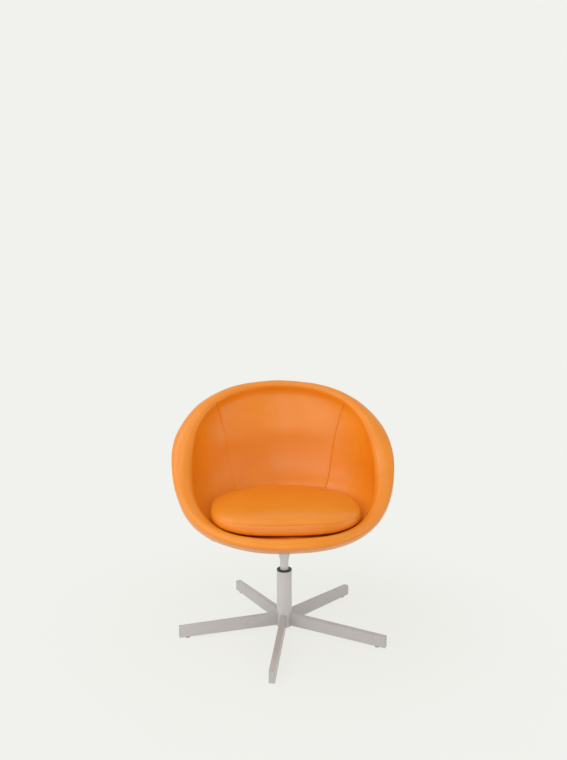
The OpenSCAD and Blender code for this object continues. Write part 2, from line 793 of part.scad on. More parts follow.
// Corner of the strip beside point k of its middle line, on the upper or the lower side
function strip_corner(k, side) =
    let (last = len(lever_line) - 1,
         before = lever_line[max(k, 1)] - lever_line[max(k, 1) - 1],
         after = lever_line[min(k, last - 1) + 1] - lever_line[min(k, last - 1)],
         a1 = atan2(before[1], before[0]),
         a2 = atan2(after[1], after[0]),
         square_to = (a1 + a2) / 2 + side * 90)
    lever_line[k] + [cos(square_to), sin(square_to)] * lever_t / 2 / cos((a2 - a1) / 2);

module lever_strip() {
    color("dimgray") lever_plane() difference() {
        union() {
            linear_extrude(lever_w, center = true)
                polygon(concat([for (k = [0 : len(lever_line) - 1]) strip_corner(k, 1)],
                               [for (k = [len(lever_line) - 1 : -1 : 0]) strip_corner(k, -1)]));
            translate([pivot_out, pivot_h]) cylinder(d = eye_d, h = lever_w, center = true);
        }
        translate([pivot_out, pivot_h])
            cylinder(d = pivot_d + 2 * pivot_fit, h = lever_w + 2 * over, center = true);
    }
}

module lever_grip() {
    pocket_t = lever_t + 2 * grip_fit;
    pocket_w = lever_w + 2 * grip_fit;
    color("black") lever_plane() translate([rise_out, rise_h]) rotate([0, 0, grip_angle]) difference() {
        rotate([90, 0, 0]) translate([0, 0, -grip_t / 2]) union() {
            translate([grip_start, -grip_w / 2, 0])
                cube([grip_l - grip_w / 2 - grip_start, grip_w, grip_t]);
            translate([grip_l - grip_w / 2, 0, 0]) cylinder(d = grip_w, h = grip_t);
        }
        translate([0, -pocket_t / 2, -pocket_w / 2])
            cube([grip_l - grip_end_wall + grip_fit, pocket_t, pocket_w]);
    }
}

// Rigid tub, its hole closed by the seat board
module shell_tub() {
    outer_rows = [for (s = outside_shares) layer_ring(s, tub_out_depth)];
    inner_rows = [for (s = outside_shares) layer_ring(s, tub_in_depth)];
    color("tan") rings(concat([disc_ring(tub_hole_r, tub_low)], outer_rows, reversed(inner_rows),
                              [disc_ring(tub_hole_r, tub_floor)]),
                       true, [len(outer_rows) + 1, 2 * len(outer_rows)]);
}

// Wadding between the tub and the cover
module outer_wadding() {
    rows = len(outside_shares);
    inner_depth = tub_out_depth - layer_gap;
    color("wheat") rings(concat([for (s = outside_shares) layer_ring(s, foam_depth)],
                                [for (s = reversed(outside_shares)) layer_ring(s, inner_depth)]),
                         true, [rows, 2 * rows - 1]);
}

// Blocks of foam on the tub's inside: one over the board and four round it that also form the edge
block_depth = tub_in_depth + layer_gap;
block_low_share = outside_shares[1];

module pan_foam() {
    foam_floor = board_top + tee_flange_t + layer_gap;
    low = [[[0, 0, foam_floor]],
           disc_ring(board_r + layer_gap, foam_floor),
           disc_ring(board_r + 2 * layer_gap, tub_floor + layer_gap),
           layer_ring(block_low_share, block_depth)];
    high = [for (s = inside_shares) if (s >= pan_seam_share) layer_ring(s, foam_depth)];
    color("khaki") rings(concat(low, high, [[[0, -pan_ahead, pan_h - foam_depth]]]),
                         false, [len(low) - 1, len(low)]);
}

module wall_foam(first, last) {
    face_shares = concat(edge_shares, [for (s = inside_shares) if (s <= pan_seam_share) s]);
    rear_shares = [for (s = reversed(outside_shares)) if (s >= block_low_share) s];
    rear_rows = [for (s = rear_shares) panel_row(s, first, last, block_depth)];
    rim_row = [for (p = rear_rows[0]) p + [0, 0, rim_gap]];
    color("khaki") patch([for (s = face_shares) panel_row(s, first, last, foam_depth)],
                         concat([rim_row], rear_rows), true);
}

// Outside of the cover, from the flat underside over the edge to the lining's seam
module outer_cover() {
    rows = concat(outside_shares, edge_shares);
    color("darkorange") rings(concat([for (s = rows) layer_ring(s, 0)],
                                     [for (s = reversed(rows)) layer_ring(s, cover_t)]),
                              true, [len(rows), 2 * len(rows) - 1]);
}

// One panel of the lining between two steps round the shell
module lining_panel(first, last) {
    shares = [for (s = concat([2], inside_shares)) if (s <= pan_seam_share) s];
    color("darkorange") patch([for (s = shares) panel_row(s, first, last, 0)],
                              [for (s = shares) panel_row(s, first, last, cover_t)]);
}

module pan_panel() {
    rows = [for (s = inside_shares) if (s >= pan_seam_share) s];
    color("darkorange") rings(concat(
        [[[0, -pan_ahead, pan_h - cover_t]]],
        [for (s = reversed(rows)) layer_ring(s, cover_t)],
        [for (s = rows) layer_ring(s, 0)],
        [[[0, -pan_ahead, pan_h]]]),
        false, [1, len(rows)]);
}

// Cushion: s from 0 at the crown, through 1 at the fullest line, to 2 at the middle underneath
cushion_w = shell_w - 2 * (edge_side_t + cushion_side_gap);
cushion_front = shell_front - edge_front_t - cushion_front_gap - cushion_ahead;
cushion_rear = shell_back - edge_back_t - cushion_rear_gap + cushion_ahead;
cushion_floor = pan_h + strip_t + 2 * layer_gap;
cushion_line_h = pan_h + cushion_side_h;

function cushion_plan(a) =
    let (n = sin(a) < 0 ? cushion_front_share : cushion_rear_share,
         depth = sin(a) < 0 ? cushion_front : cushion_rear)
    [cushion_w / 2 * signed_power(cos(a), 2 / n), depth * signed_power(sin(a), 2 / n)];
function cushion_under_share(a) =
    cushion_under_side_share
    + (cushion_under_front_share - cushion_under_side_share) * pow(max(0, -sin(a)), 4);
function cushion_point(a, s) =
    let (n = s < 1 ? cushion_top_share : cushion_under_share(a),
         c = cushion_plan(a) * pow(max(0, sin(90 * s)), 2 / n),
         h = s < 1 ? cushion_crown : cushion_line_h - cushion_floor)
    [c[0], c[1] - cushion_ahead, cushion_line_h + h * signed_power(cos(90 * s), 2 / n)];
function cushion_layer(a, s, depth) =
    let (da = 0.5, ds = 0.01,
         n = cross(cushion_point(a, s + ds) - cushion_point(a, s - ds),
                   cushion_point(a + da, s) - cushion_point(a - da, s)))
    cushion_point(a, s) - n / norm(n) * depth;
cushion_angles = [for (k = [0 : cushion_steps - 1]) (k + 0.5) * 360 / cushion_steps];
function cushion_ring(s, depth) = [for (a = cushion_angles) cushion_layer(a, s, depth)];
function cushion_middle(z) = [0, -cushion_ahead, z];

module cushion_foam() {
    rows = concat(cushion_top_shares, [for (s = cushion_border_shares) if (s > cushion_top_shares[3]) s]);
    color("khaki") rings(concat(
        [[cushion_middle(cushion_floor + foam_depth)]],
        [for (s = reversed(rows)) cushion_ring(s, foam_depth)],
        [[cushion_middle(cushion_line_h + cushion_crown - foam_depth)]]),
        false, [1, len(rows)]);
}

module cushion_top_panel() {
    top_h = cushion_line_h + cushion_crown;
    color("darkorange") rings(concat(
        [[cushion_middle(top_h - cover_t)]],
        [for (s = cushion_top_shares) cushion_ring(s, cover_t)],
        [for (s = reversed(cushion_top_shares)) cushion_ring(s, 0)],
        [[cushion_middle(top_h)]]),
        false, [len(cushion_top_shares) + 1, 2 * len(cushion_top_shares)]);
}

module cushion_border() {
    color("darkorange") rings(concat([for (s = cushion_border_shares) cushion_ring(s, cover_t)],
                                     [for (s = reversed(cushion_border_shares)) cushion_ring(s, 0)]),
                              true, [len(cushion_border_shares), 2 * len(cushion_border_shares) - 1]);
}

module cushion_base_panel() {
    color("darkorange") rings(concat(
        [[cushion_middle(cushion_floor)]],
        [cushion_ring(base_panel_share, 0)],
        [cushion_ring(base_panel_share, cover_t)],
        [[cushion_middle(cushion_floor + cover_t)]]));
}

module grip_strips() {
    color("dimgray") for (i = [-1, 1])
        translate([i * strip_pitch / 2 - strip_w / 2, -cushion_ahead - strip_l / 2, pan_h + layer_gap])
            cube([strip_w, strip_l, strip_t]);
}

column_tube();
for (k = [1 : leg_count]) {
    leg(k);
    leg_cap(k);
    glide(k);
}
column_end_plate();
guide_bush();
race(plate_top);  // bearing_washer_lower
race(race_high);  // bearing_washer_upper
bearing_balls();
ball_cage();
bump_stop();
piston_rod();
piston();
piston_seal();
retaining_clip();
gas_cylinder();
cylinder_gland();
valve_body();
release_pin();
taper_socket();
mechanism_box();
seat_plate();
plate_bolts();
plate_washers();
tee_nuts();
lever_pivot_pin();
lever_strip();
lever_grip();
seat_board();
shell_tub();
outer_wadding();
pan_foam();
wall_foam(back_seam_step, opposite_step(back_seam_step));  // back_foam
wall_foam(front_seam_step, back_seam_step);  // arm_foam_left
wall_foam(opposite_step(back_seam_step), opposite_step(front_seam_step));  // arm_foam_right
wall_foam(opposite_step(front_seam_step), round_steps + front_seam_step);  // front_foam
outer_cover();
lining_panel(back_seam_step, opposite_step(back_seam_step));  // back_panel
lining_panel(front_seam_step, back_seam_step);  // arm_panel_left
lining_panel(opposite_step(back_seam_step), opposite_step(front_seam_step));  // arm_panel_right
lining_panel(opposite_step(front_seam_step), round_steps + front_seam_step);  // front_panel
pan_panel();
grip_strips();
cushion_foam();
cushion_top_panel();
cushion_border();
cushion_base_panel();
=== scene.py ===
"""Looks of the pedestal swivel armchair: leather shell and cushion, painted base, and a studio."""
import math

import bpy
import numpy as np
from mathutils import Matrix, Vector
from mathutils.bvhtree import BVHTree


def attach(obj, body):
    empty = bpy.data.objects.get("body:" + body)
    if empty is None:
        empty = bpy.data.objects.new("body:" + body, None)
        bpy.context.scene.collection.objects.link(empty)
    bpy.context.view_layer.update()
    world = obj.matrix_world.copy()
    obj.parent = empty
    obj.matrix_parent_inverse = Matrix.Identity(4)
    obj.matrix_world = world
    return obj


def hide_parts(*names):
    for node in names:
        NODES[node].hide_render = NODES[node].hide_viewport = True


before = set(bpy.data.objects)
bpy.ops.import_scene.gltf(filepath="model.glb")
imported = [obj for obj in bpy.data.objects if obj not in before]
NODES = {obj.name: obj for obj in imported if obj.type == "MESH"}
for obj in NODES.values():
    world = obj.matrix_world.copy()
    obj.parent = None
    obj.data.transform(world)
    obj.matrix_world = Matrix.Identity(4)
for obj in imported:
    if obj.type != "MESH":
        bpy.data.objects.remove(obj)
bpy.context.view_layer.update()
scene = bpy.context.scene

# Camera, as solved from the photograph
CAMERA_PLACE = (-0.1245, -2.1133, 1.0399)
CAMERA_PITCH, CAMERA_YAW = 84.51, -3.3
CAMERA_LENS, CAMERA_SENSOR = 31.01, 36
cam_data = bpy.data.cameras.new("camera")
cam_data.lens = CAMERA_LENS
cam_data.sensor_width = CAMERA_SENSOR
cam = bpy.data.objects.new("camera", cam_data)
cam.location = CAMERA_PLACE
cam.rotation_euler = (math.radians(CAMERA_PITCH), 0, math.radians(CAMERA_YAW))
scene.collection.objects.link(cam)
scene.camera = cam

# All lengths are in metres. The shell's and the cushion's sizes are those of the frame,
# and triples go front, side, back.
SHELL_W, SHELL_FRONT, SHELL_BACK, WIDEST = 0.746, 0.304, 0.345, 0.060
UNDER_H, LIP_H, BACK_H, FLAT_R = 0.305, 0.402, 0.806, 0.125
PAN_H, PAN_AHEAD = 0.385, 0.010
EDGE_T, EDGE_RISE, EDGE_DROP = (0.041, 0.070, 0.066), (0.024, 0.020, 0.033), (0.014, 0.036, 0.033)
PLAN_SHARE, ARM_DIP, ARM_SWING = 1.95, -0.27, -0.58
WALL_SHARE, INSIDE_SHARE = (1.18, 1.93, 2.3), (3, 4, 4.5)
COVER_T = 0.0012

# The back's wall under the crest stands back, between these depths below the crest
BACK_THIN, THIN_STARTS, THIN_ENDS = 0.026, (0, 0.050), (0.040, 0.20)
# The lip is narrower and lower at the two front corners
CORNER_THIN, CORNER_DROP = 0.006, 0.010
CORNER_STARTS, CORNER_ENDS, DROP_STARTS = (0, 0.012), (0.05, 0.10), (1.1, 1.6)

CUSHION_W, CUSHION_FRONT, CUSHION_REAR, CUSHION_AHEAD = 0.480, 0.203, 0.216, 0.025
CUSHION_LINE_H, CUSHION_CROWN, CUSHION_FLOOR = 0.413, 0.042, 0.3874
CUSHION_FRONT_SHARE, CUSHION_REAR_SHARE = 3.5, 2.05
CUSHION_TOP, CUSHION_TOP_FRONT, CUSHION_UNDER_FRONT, CUSHION_UNDER_SIDE = 4.2, 7, 4.5, 2.2
CUSHION_FRONT_DROP, CUSHION_TILT, CUSHION_SLOPE = 0.014, 0.18, 0.013
CUSHION_COLS, CUSHION_ROWS, CUSHION_INSET = 200, 74, 0.003
CUSHION_SEAM, WELT_R, WELT_OUT, WELT_SIDES = 0.66, 0.0024, -0.0014, 8

# The cushion's cloth simulation
VOXEL, HOLD_H, SWELL_CAP, EVEN_OUT = 0.005, 0.004, 0.004, 150
CLOTH_QUALITY, CLOTH_MASS, CLOTH_STIFFNESS, CLOTH_BENDING = 4, 0.3, 30, 40
CLOTH_PRESSURE, CLOTH_FRAMES = 4, 20

rng = np.random.default_rng(7)


# Materials. A grain's scale is in cells per metre, and a bump has a depth and a strength.
CLOUD_RANGE, FINE_RANGE = (0.35, 0.65), (0.3, 0.7)
LEATHER_SCALES = {"cloud": 9, "dent": 34, "pebble": 620, "fine": 260}
DENT, PEBBLE, FINE = (0.0012, 0.14), (0.00025, 0.30), (0.0003, 0.2)
PEBBLE_RANGE = (0.1, 0.7)
PLAIN_CLOUD, PLAIN_BUMP = 14, 0.5
BEVEL_STEPS, BEVEL_ANGLE = 3, math.radians(35)


def nodes_of(name):
    mat = bpy.data.materials.new(name)
    mat.use_nodes = True
    tree = mat.node_tree
    return mat, tree.nodes, tree.links, tree.nodes["Principled BSDF"]


def noise(nodes, links, coords, scale, detail, rough=0.5):
    n = nodes.new("ShaderNodeTexNoise")
    n.inputs["Scale"].default_value = scale
    n.inputs["Detail"].default_value = detail
    n.inputs["Roughness"].default_value = rough
    links.new(coords, n.inputs["Vector"])
    return n.outputs["Fac"]


def ramp(nodes, links, fac, low, high, a, b):
    """From low to high while the factor goes from a to b."""
    r = nodes.new("ShaderNodeMapRange")
    r.inputs["From Min"].default_value, r.inputs["From Max"].default_value = a, b
    r.inputs["To Min"].default_value, r.inputs["To Max"].default_value = low, high
    links.new(fac, r.inputs["Value"])
    return r.outputs["Result"]


def mix(nodes, links, fac, first, second):
    m = nodes.new("ShaderNodeMix")
    m.data_type = "RGBA"
    links.new(fac, m.inputs["Factor"])
    m.inputs["A"].default_value = (*first, 1)
    m.inputs["B"].default_value = (*second, 1)
    return m.outputs["Result"]


def bump(nodes, links, height, distance, strength, below=None):
    b = nodes.new("ShaderNodeBump")
    b.inputs["Distance"].default_value = distance
    b.inputs["Strength"].default_value = strength
    links.new(height, b.inputs["Height"])
    if below is not None:
        links.new(below, b.inputs["Normal"])
    return b.outputs["Normal"]


def clouded(nodes, links, coords, scale, dark, light):
    """Colour that drifts between two shades in soft clouds."""
    cloud = noise(nodes, links, coords, scale, 3)
    return mix(nodes, links, ramp(nodes, links, cloud, 0, 1, *CLOUD_RANGE), dark, light)


def leather(name, dark, light, rough, specular):
    mat, nodes, links, bsdf = nodes_of(name)
    coords = nodes.new("ShaderNodeTexCoord").outputs["Object"]
    color = clouded(nodes, links, coords, LEATHER_SCALES["cloud"], dark, light)
    links.new(color, bsdf.inputs["Base Color"])
    fine = noise(nodes, links, coords, LEATHER_SCALES["fine"], 4, 0.6)
    shine = ramp(nodes, links, fine, rough - 0.04, rough + 0.05, *FINE_RANGE)
    links.new(shine, bsdf.inputs["Roughness"])
    grain = nodes.new("ShaderNodeTexVoronoi")
    grain.inputs["Scale"].default_value = LEATHER_SCALES["pebble"]
    links.new(coords, grain.inputs["Vector"])
    cells = ramp(nodes, links, grain.outputs["Distance"], 0, 1, *PEBBLE_RANGE)
    dents = bump(nodes, links, noise(nodes, links, coords, LEATHER_SCALES["dent"], 3), *DENT)
    pebbles = bump(nodes, links, cells, *PEBBLE, dents)
    links.new(bump(nodes, links, fine, *FINE, pebbles), bsdf.inputs["Normal"])
    bsdf.inputs["Specular IOR Level"].default_value = specular
    return mat


def plain(name, color, rough, metallic=0.0, grain=700, depth=0.00008, spread=0.08):
    """Paint, plastic or metal: slightly clouded, with a fine grain in its gloss and surface."""
    mat, nodes, links, bsdf = nodes_of(name)
    coords = nodes.new("ShaderNodeTexCoord").outputs["Object"]
    shade = tuple(c * (1 - spread) for c in color)
    clouds = clouded(nodes, links, coords, PLAIN_CLOUD, shade, color)
    links.new(clouds, bsdf.inputs["Base Color"])
    fine = noise(nodes, links, coords, grain, 3)
    shine = ramp(nodes, links, fine, rough - 0.05, rough + 0.06, *FINE_RANGE)
    links.new(shine, bsdf.inputs["Roughness"])
    links.new(bump(nodes, links, fine, depth, PLAIN_BUMP), bsdf.inputs["Normal"])
    bsdf.inputs["Metallic"].default_value = metallic
    return mat


def plywood(name, dark, light, rough):
    mat, nodes, links, bsdf = nodes_of(name)
    coords = nodes.new("ShaderNodeTexCoord").outputs["Object"]
    wave = nodes.new("ShaderNodeTexWave")
    wave.inputs["Scale"].default_value = 28
    wave.inputs["Distortion"].default_value = 5
    wave.inputs["Detail"].default_value = 3
    links.new(coords, wave.inputs["Vector"])
    links.new(mix(nodes, links, wave.outputs["Fac"], dark, light), bsdf.inputs["Base Color"])
    links.new(bump(nodes, links, wave.outputs["Fac"], 0.0002, 0.4), bsdf.inputs["Normal"])
    bsdf.inputs["Roughness"].default_value = rough
    return mat


PAINTED = {"metallic": 0.15, "grain": 1400, "depth": 0.00005, "spread": 0.04}
LEATHER = leather("orange_leather", (0.820, 0.248, 0.009), (0.855, 0.268, 0.012), 0.31, 0.46)
PAINT = plain("warm_grey_paint", (0.56, 0.553, 0.548), 0.42, **PAINTED)
# The column's paint is the legs' paint made lighter: painted light, standing in for more light on
# the column than the lamps give it.
COLUMN_PAINT_WITH_PAINTED_LIGHT = plain("column_paint_with_painted_light", (0.65, 0.648, 0.645), 0.42, **PAINTED)
GAS_PAINT = plain("gas_lift_paint", (0.73, 0.73, 0.72), 0.36, metallic=0.2, grain=1400,
                  depth=0.00004, spread=0.04)
CAP = plain("leg_cap_plastic", (0.52, 0.51, 0.505), 0.5, grain=900, spread=0.04)
BLACK = plain("black_plastic", (0.014, 0.014, 0.015), 0.42, grain=900)
BLACK_PAINT = plain("black_paint", (0.022, 0.022, 0.022), 0.5, grain=500, depth=0.00015)
RUBBER = plain("black_rubber", (0.02, 0.02, 0.02), 0.75, grain=600)
GLIDE = plain("glide_plastic", (0.30, 0.295, 0.29), 0.5)
ZINC = plain("zinc_steel", (0.56, 0.56, 0.58), 0.34, metallic=1.0, grain=300)
GROUND = plain("ground_steel", (0.66, 0.66, 0.67), 0.18, metallic=1.0, grain=1800, depth=0.00002)
BRASS = plain("brass", (0.70, 0.50, 0.20), 0.3, metallic=1.0)
TUB = plain("tub_composite", (0.10, 0.10, 0.10), 0.7, grain=300, depth=0.0002)
HOOK = plain("hook_strip", (0.03, 0.03, 0.03), 0.9, grain=900, depth=0.0005)
WOOD = plywood("birch_board", (0.42, 0.28, 0.14), (0.62, 0.45, 0.26), 0.6)


def modify(o, kind, **settings):
    modifier = o.modifiers.new(kind.lower(), kind)
    for key, value in settings.items():
        setattr(modifier, key, value)
    return modifier


def dress(mat, *names, bevel=0.0):
    for name in names:
        o = NODES[name]
        o.data.materials.clear()
        o.data.materials.append(mat)
        if bevel:
            modify(o, "BEVEL", width=bevel, segments=BEVEL_STEPS, limit_method="ANGLE",
                   angle_limit=BEVEL_ANGLE, harden_normals=True)


LEGS = range(1, 6)
dress(PAINT, *[f"leg_{k}" for k in LEGS], bevel=0.0009)
dress(COLUMN_PAINT_WITH_PAINTED_LIGHT, "column_tube", bevel=0.0006)
dress(CAP, *[f"leg_cap_{k}" for k in LEGS], bevel=0.0006)
dress(GLIDE, *[f"glide_{k}" for k in LEGS], bevel=0.0008)
dress(ZINC, "column_end_plate", "piston", "plate_bolts", "plate_washers", "tee_nuts",
      "retaining_clip", bevel=0.0002)
dress(BLACK, "guide_bush", bevel=0.0010)
dress(BLACK, "cylinder_gland")
dress(BLACK, "lever_grip", bevel=0.0022)
dress(GROUND, "bearing_washer_lower", "bearing_washer_upper", "piston_rod", "bearing_balls",
      "release_pin", "lever_pivot_pin")
dress(BRASS, "ball_cage", "valve_body")
dress(RUBBER, "piston_seal", "bump_stop")
dress(GAS_PAINT, "gas_cylinder")
dress(GAS_PAINT, "taper_socket", bevel=0.0008)
dress(BLACK_PAINT, "mechanism_box", "seat_plate", "lever_strip", bevel=0.0006)
dress(WOOD, "seat_board")
dress(TUB, "shell_tub")
dress(HOOK, "grip_strips")


# Shapes. Angle a runs round the shell from its right side, and the back is at 90 degrees.
def signed_power(v, p):
    return np.sign(v) * np.abs(v) ** p


def by_angle(a, values):
    front, side, back = values
    return side + (np.where(np.sin(a) < 0, front, back) - side) * np.sin(a) ** 2


def plan_depth(a):
    return np.where(np.sin(a) < 0, WIDEST + SHELL_FRONT, SHELL_BACK - WIDEST)


def edge_plan(a):
    """Outermost line of the shell, seen from above."""
    k = 2 / PLAN_SHARE
    return np.stack([SHELL_W / 2 * signed_power(np.cos(a), k),
                     WIDEST + plan_depth(a) * signed_power(np.sin(a), k)], -1)


def edge_out(a):
    """Outward unit direction at the outermost line."""
    k = 2 - 2 / PLAN_SHARE
    v = np.stack([signed_power(np.cos(a), k) / (SHELL_W / 2),
                  signed_power(np.sin(a), k) / plan_depth(a)], -1)
    return v / np.linalg.norm(v, axis=-1, keepdims=True)


def crest_h(a):
    t = (edge_plan(a)[..., 1] + SHELL_FRONT) / (SHELL_FRONT + SHELL_BACK)
    return LIP_H + (BACK_H - LIP_H) * (t + t * (1 - t) * (ARM_DIP + ARM_SWING * (1 - 2 * t)))


def corner(u, n):
    """Even steps along a superellipse's quarter, from (0, 1) at u 0 to (1, 0) at u 1."""
    s, c = np.sin(np.pi / 2 * u), np.cos(np.pi / 2 * u)
    r = (np.abs(s) ** n + np.abs(c) ** n) ** (1 / n)
    return s / r, c / r


def outside(a, u):
    e = edge_plan(a)
    low = e / np.linalg.norm(e, axis=-1, keepdims=True) * FLAT_R
    f, q = corner(u, by_angle(a, WALL_SHARE))
    top = crest_h(a) - by_angle(a, EDGE_RISE)
    return np.dstack([low + (e - low) * f[..., None], UNDER_H + (top - UNDER_H) * (1 - q)])


def edge_roll(a, u):
    inward = by_angle(a, EDGE_T) * (1 - np.cos(np.pi * u)) / 2
    h = np.where(u < 0.5, by_angle(a, EDGE_RISE), by_angle(a, EDGE_DROP))
    return np.dstack([edge_plan(a) - edge_out(a) * inward[..., None],
                      crest_h(a) - h * (1 - np.sin(np.pi * u))])


def inside(a, u):
    i = edge_roll(a, np.ones_like(u))
    q, f = corner(u, by_angle(a, INSIDE_SHARE))
    return np.dstack([i[..., 0] * f, -PAN_AHEAD + (i[..., 1] + PAN_AHEAD) * f,
                      PAN_H + (i[..., 2] - PAN_H) * (1 - q)])


def rise(v, low, high):
    """Smooth step from 0 at low to 1 at high."""
    t = np.clip((v - low) / (high - low), 0, 1)
    return t * t * (3 - 2 * t)


def lean(a, s, p):
    """Shift of the inner side: outward under the crest, and outward and down at the corners."""
    down = crest_h(a) - p[..., 2]
    thin = rise(down, *THIN_STARTS) * (1 - rise(down, *THIN_ENDS))
    corners = 4 * np.maximum(0, -np.sin(a)) ** 2 * np.cos(a) ** 2
    upper = 1 - rise(down, *CORNER_ENDS)
    narrow = corners * rise(down, *CORNER_STARTS) * upper
    outward = by_angle(a, (0, 0, 1)) * (BACK_THIN * thin) + CORNER_THIN * narrow
    drop = -CORNER_DROP * corners * rise(s, *DROP_STARTS) * upper
    return np.dstack([edge_out(a) * outward[..., None], drop])


# Along a section, s goes from 0 at the flat underside, through these, to 3 at the pan's middle
OUTERMOST, CREST, INNER, MIDDLE = 1, 1.5, 2, 3


def shell_point(a, s):
    out = outside(a, np.clip(s, 0, 1))
    roll = edge_roll(a, np.clip(s - OUTERMOST, 0, 1))
    ins = inside(a, np.clip(s - INNER, 0, 1))
    part = s[..., None]
    p = np.where(part <= OUTERMOST, out, np.where(part <= INNER, roll, ins))
    move = lean(a, s, p)
    return p + np.where(part > CREST, move, move * [0, 0, 1])


def normals(p):
    """Outward unit normals of a grid whose rows run up the outside and whose columns run round."""
    du = np.gradient(p, axis=0)
    dv = np.roll(p, -1, 1) - np.roll(p, 1, 1)
    n = np.cross(dv, du)
    return n / np.maximum(np.linalg.norm(n, axis=-1, keepdims=True), 1e-12)


# Soft unevenness of the leather over the foam: length and height of its broad and its fine waves
BROAD, RIPPLE, WAVE_TURN = (0.10, 0.0010), (0.034, 0.00022), 2.2
WAVES = [(rng.normal(size=3), rng.uniform(0, 6.28)) for _ in range(24)]


def swell(p, waves, length, amount):
    """Unevenness over a length of that order: a sum of seeded waves."""
    total = np.zeros(p.shape[:-1])
    for direction, phase in waves:
        total += np.sin(p @ (direction / length * WAVE_TURN) + phase)
    return total * amount / math.sqrt(len(waves))


def add_object(name, verts, faces, mat):
    mesh = bpy.data.meshes.new(name)
    mesh.from_pydata(verts.tolist(), [], faces)
    mesh.update()
    mesh.materials.append(mat)
    mesh.polygons.foreach_set("use_smooth", [True] * len(mesh.polygons))
    o = bpy.data.objects.new(name, mesh)
    scene.collection.objects.link(o)
    return o


def grid_faces(rows, cols):
    """Faces of a grid that closes round its columns."""
    k = np.arange(cols)
    j = (k + 1) % cols
    bands = [np.stack([a + k, a + j, a + cols + j, a + cols + k], -1)
             for a in range(0, (rows - 1) * cols, cols)]
    return np.concatenate(bands).tolist()


# Seam of a dart on each side of the back: its angle by height, as photographed
SEAM_TOP = 0.737
SEAM_Z = [0.385, 0.440, 0.500, 0.540, 0.595, 0.640, 0.682, 0.713, SEAM_TOP, 0.80]
SEAM_A = [52.4, 52.6, 53.4, 53.1, 51.8, 50.2, 48.6, 46.2, 43.0, 41.0]
SEAM_MID = 50.0
SEAMS = ((SEAM_MID, 1), (180 - SEAM_MID, -1))
SEAM_EASE = (-0.02, -0.01, 0, 0.01, 0.02)
SEAM_ROUNDS, SEAM_PULL = 12, 30
SEAM_TAKES, SEAM_OVER = 1.45, 0.25

# Columns round the shell, in degrees: their step, and the closer ones beside a seam
COLUMN_STEP, SEAM_CLEAR = 1.25, 1.5
SEAM_COLUMNS = (0.10, 1.1, 9)
ROWS_OUT, ROWS_ROLL, ROWS_IN, LAST_ROW = 42, 33, 60, 0.985

# A dart's form across its line: the hollow it pulls, its groove, and the ridge on each side
HOLLOW_REACH, HOLLOW_DEPTH, HOLLOW_ABOVE, HOLLOW_FADE = 0.085, 0.0042, 0.01, 0.09
GROOVE_DEPTH, GROOVE_REACH, GROOVE_FADE = 0.0016, 0.0011, 0.012
SHOULDER_DEPTH, SHOULDER_REACH = 0.0006, 0.0040
RIDGE_H, RIDGE_OUT, RIDGE_REACH, RIDGE_FROM, RIDGE_FULL = 0.0011, 0.0050, 0.0024, 0.075, 0.035
LEFT_FADE, LEFT_FADE_OVER = 0.75, (0.06, 0.16)
# Gathers that fan out from the dart's upper end
GATHER_H, GATHER_REACH, GATHER_CLEAR, GATHERS, GATHER_PHASE = 0.0009, 0.019, 0.006, 5, 0.6


def columns():
    """Angles round the shell, closer together at the two seams."""
    base = np.arange(0, 360, COLUMN_STEP) + COLUMN_STEP / 2
    near = np.concatenate([[0], np.geomspace(*SEAM_COLUMNS)])
    fine = np.concatenate([-near[::-1], near[1:]])
    for mid, _ in SEAMS:
        base = base[np.abs(base - mid) > SEAM_CLEAR]
        base = np.concatenate([base, mid + fine])
    return np.sort(base)


COLS = columns()


def seam_angle(s_row, side):
    """Angle of the seam at each row, found from its height on the wall."""
    a = np.full(s_row.shape, SEAM_MID)
    for _ in range(SEAM_ROUNDS):
        ang = np.radians(a if side > 0 else 180 - a)
        z = shell_point(ang[:, None], s_row[:, None])[:, 0, 2]
        eased = sum(np.interp(z + e, SEAM_Z, SEAM_A) for e in SEAM_EASE) / len(SEAM_EASE)
        a = 0.5 * a + 0.5 * np.where(s_row > CREST, eased, SEAM_MID)
    return a


def bell(d, reach):
    return np.exp(-(d / reach) ** 2)


def dart_push(p, s, step, mid):
    """How far a dart moves each point outward."""
    c = int(np.argmin(np.abs(COLS - mid)))
    along = np.cumsum(step, axis=1) - step
    d = along - along[:, c:c + 1]
    z = p[:, c, 2]
    on = np.clip((SEAM_TOP - z) / GROOVE_FADE, 0, 1) * (s > CREST)
    if mid > 90:  # the left one fades downwards
        on = on * (1 - LEFT_FADE * rise(SEAM_TOP - z, *LEFT_FADE_OVER))
    deep = np.clip((SEAM_TOP + HOLLOW_ABOVE - z) / HOLLOW_FADE, 0, 1) * (s > CREST)
    deep = deep * np.clip((MIDDLE - s) / 0.5, 0, 1)
    wide = np.clip(1 - np.abs(d) / HOLLOW_REACH, 0, 1)
    push = -deep[:, None] * HOLLOW_DEPTH * wide * wide
    push -= on[:, None] * (GROOVE_DEPTH * bell(d, GROOVE_REACH)
                           + SHOULDER_DEPTH * bell(d, SHOULDER_REACH))
    ridge = (on * rise(z, SEAM_TOP - RIDGE_FROM, SEAM_TOP - RIDGE_FULL))[:, None]
    push += ridge * RIDGE_H * (bell(d - RIDGE_OUT, RIDGE_REACH) + bell(d + RIDGE_OUT, RIDGE_REACH))
    end = np.argmin(np.abs(z - SEAM_TOP) + 10 * (s < CREST))
    v = p - p[end, c]
    line = p[end - 3, c] - p[end + 3, c]
    up = np.einsum("ijk,k->ij", v, line / np.linalg.norm(line))
    r = np.linalg.norm(v, axis=-1)
    fan = np.cos(GATHERS * np.arctan2(d, up) + GATHER_PHASE)
    return push + GATHER_H * fan * np.clip(r / GATHER_CLEAR, 0, 1) * bell(r, GATHER_REACH)


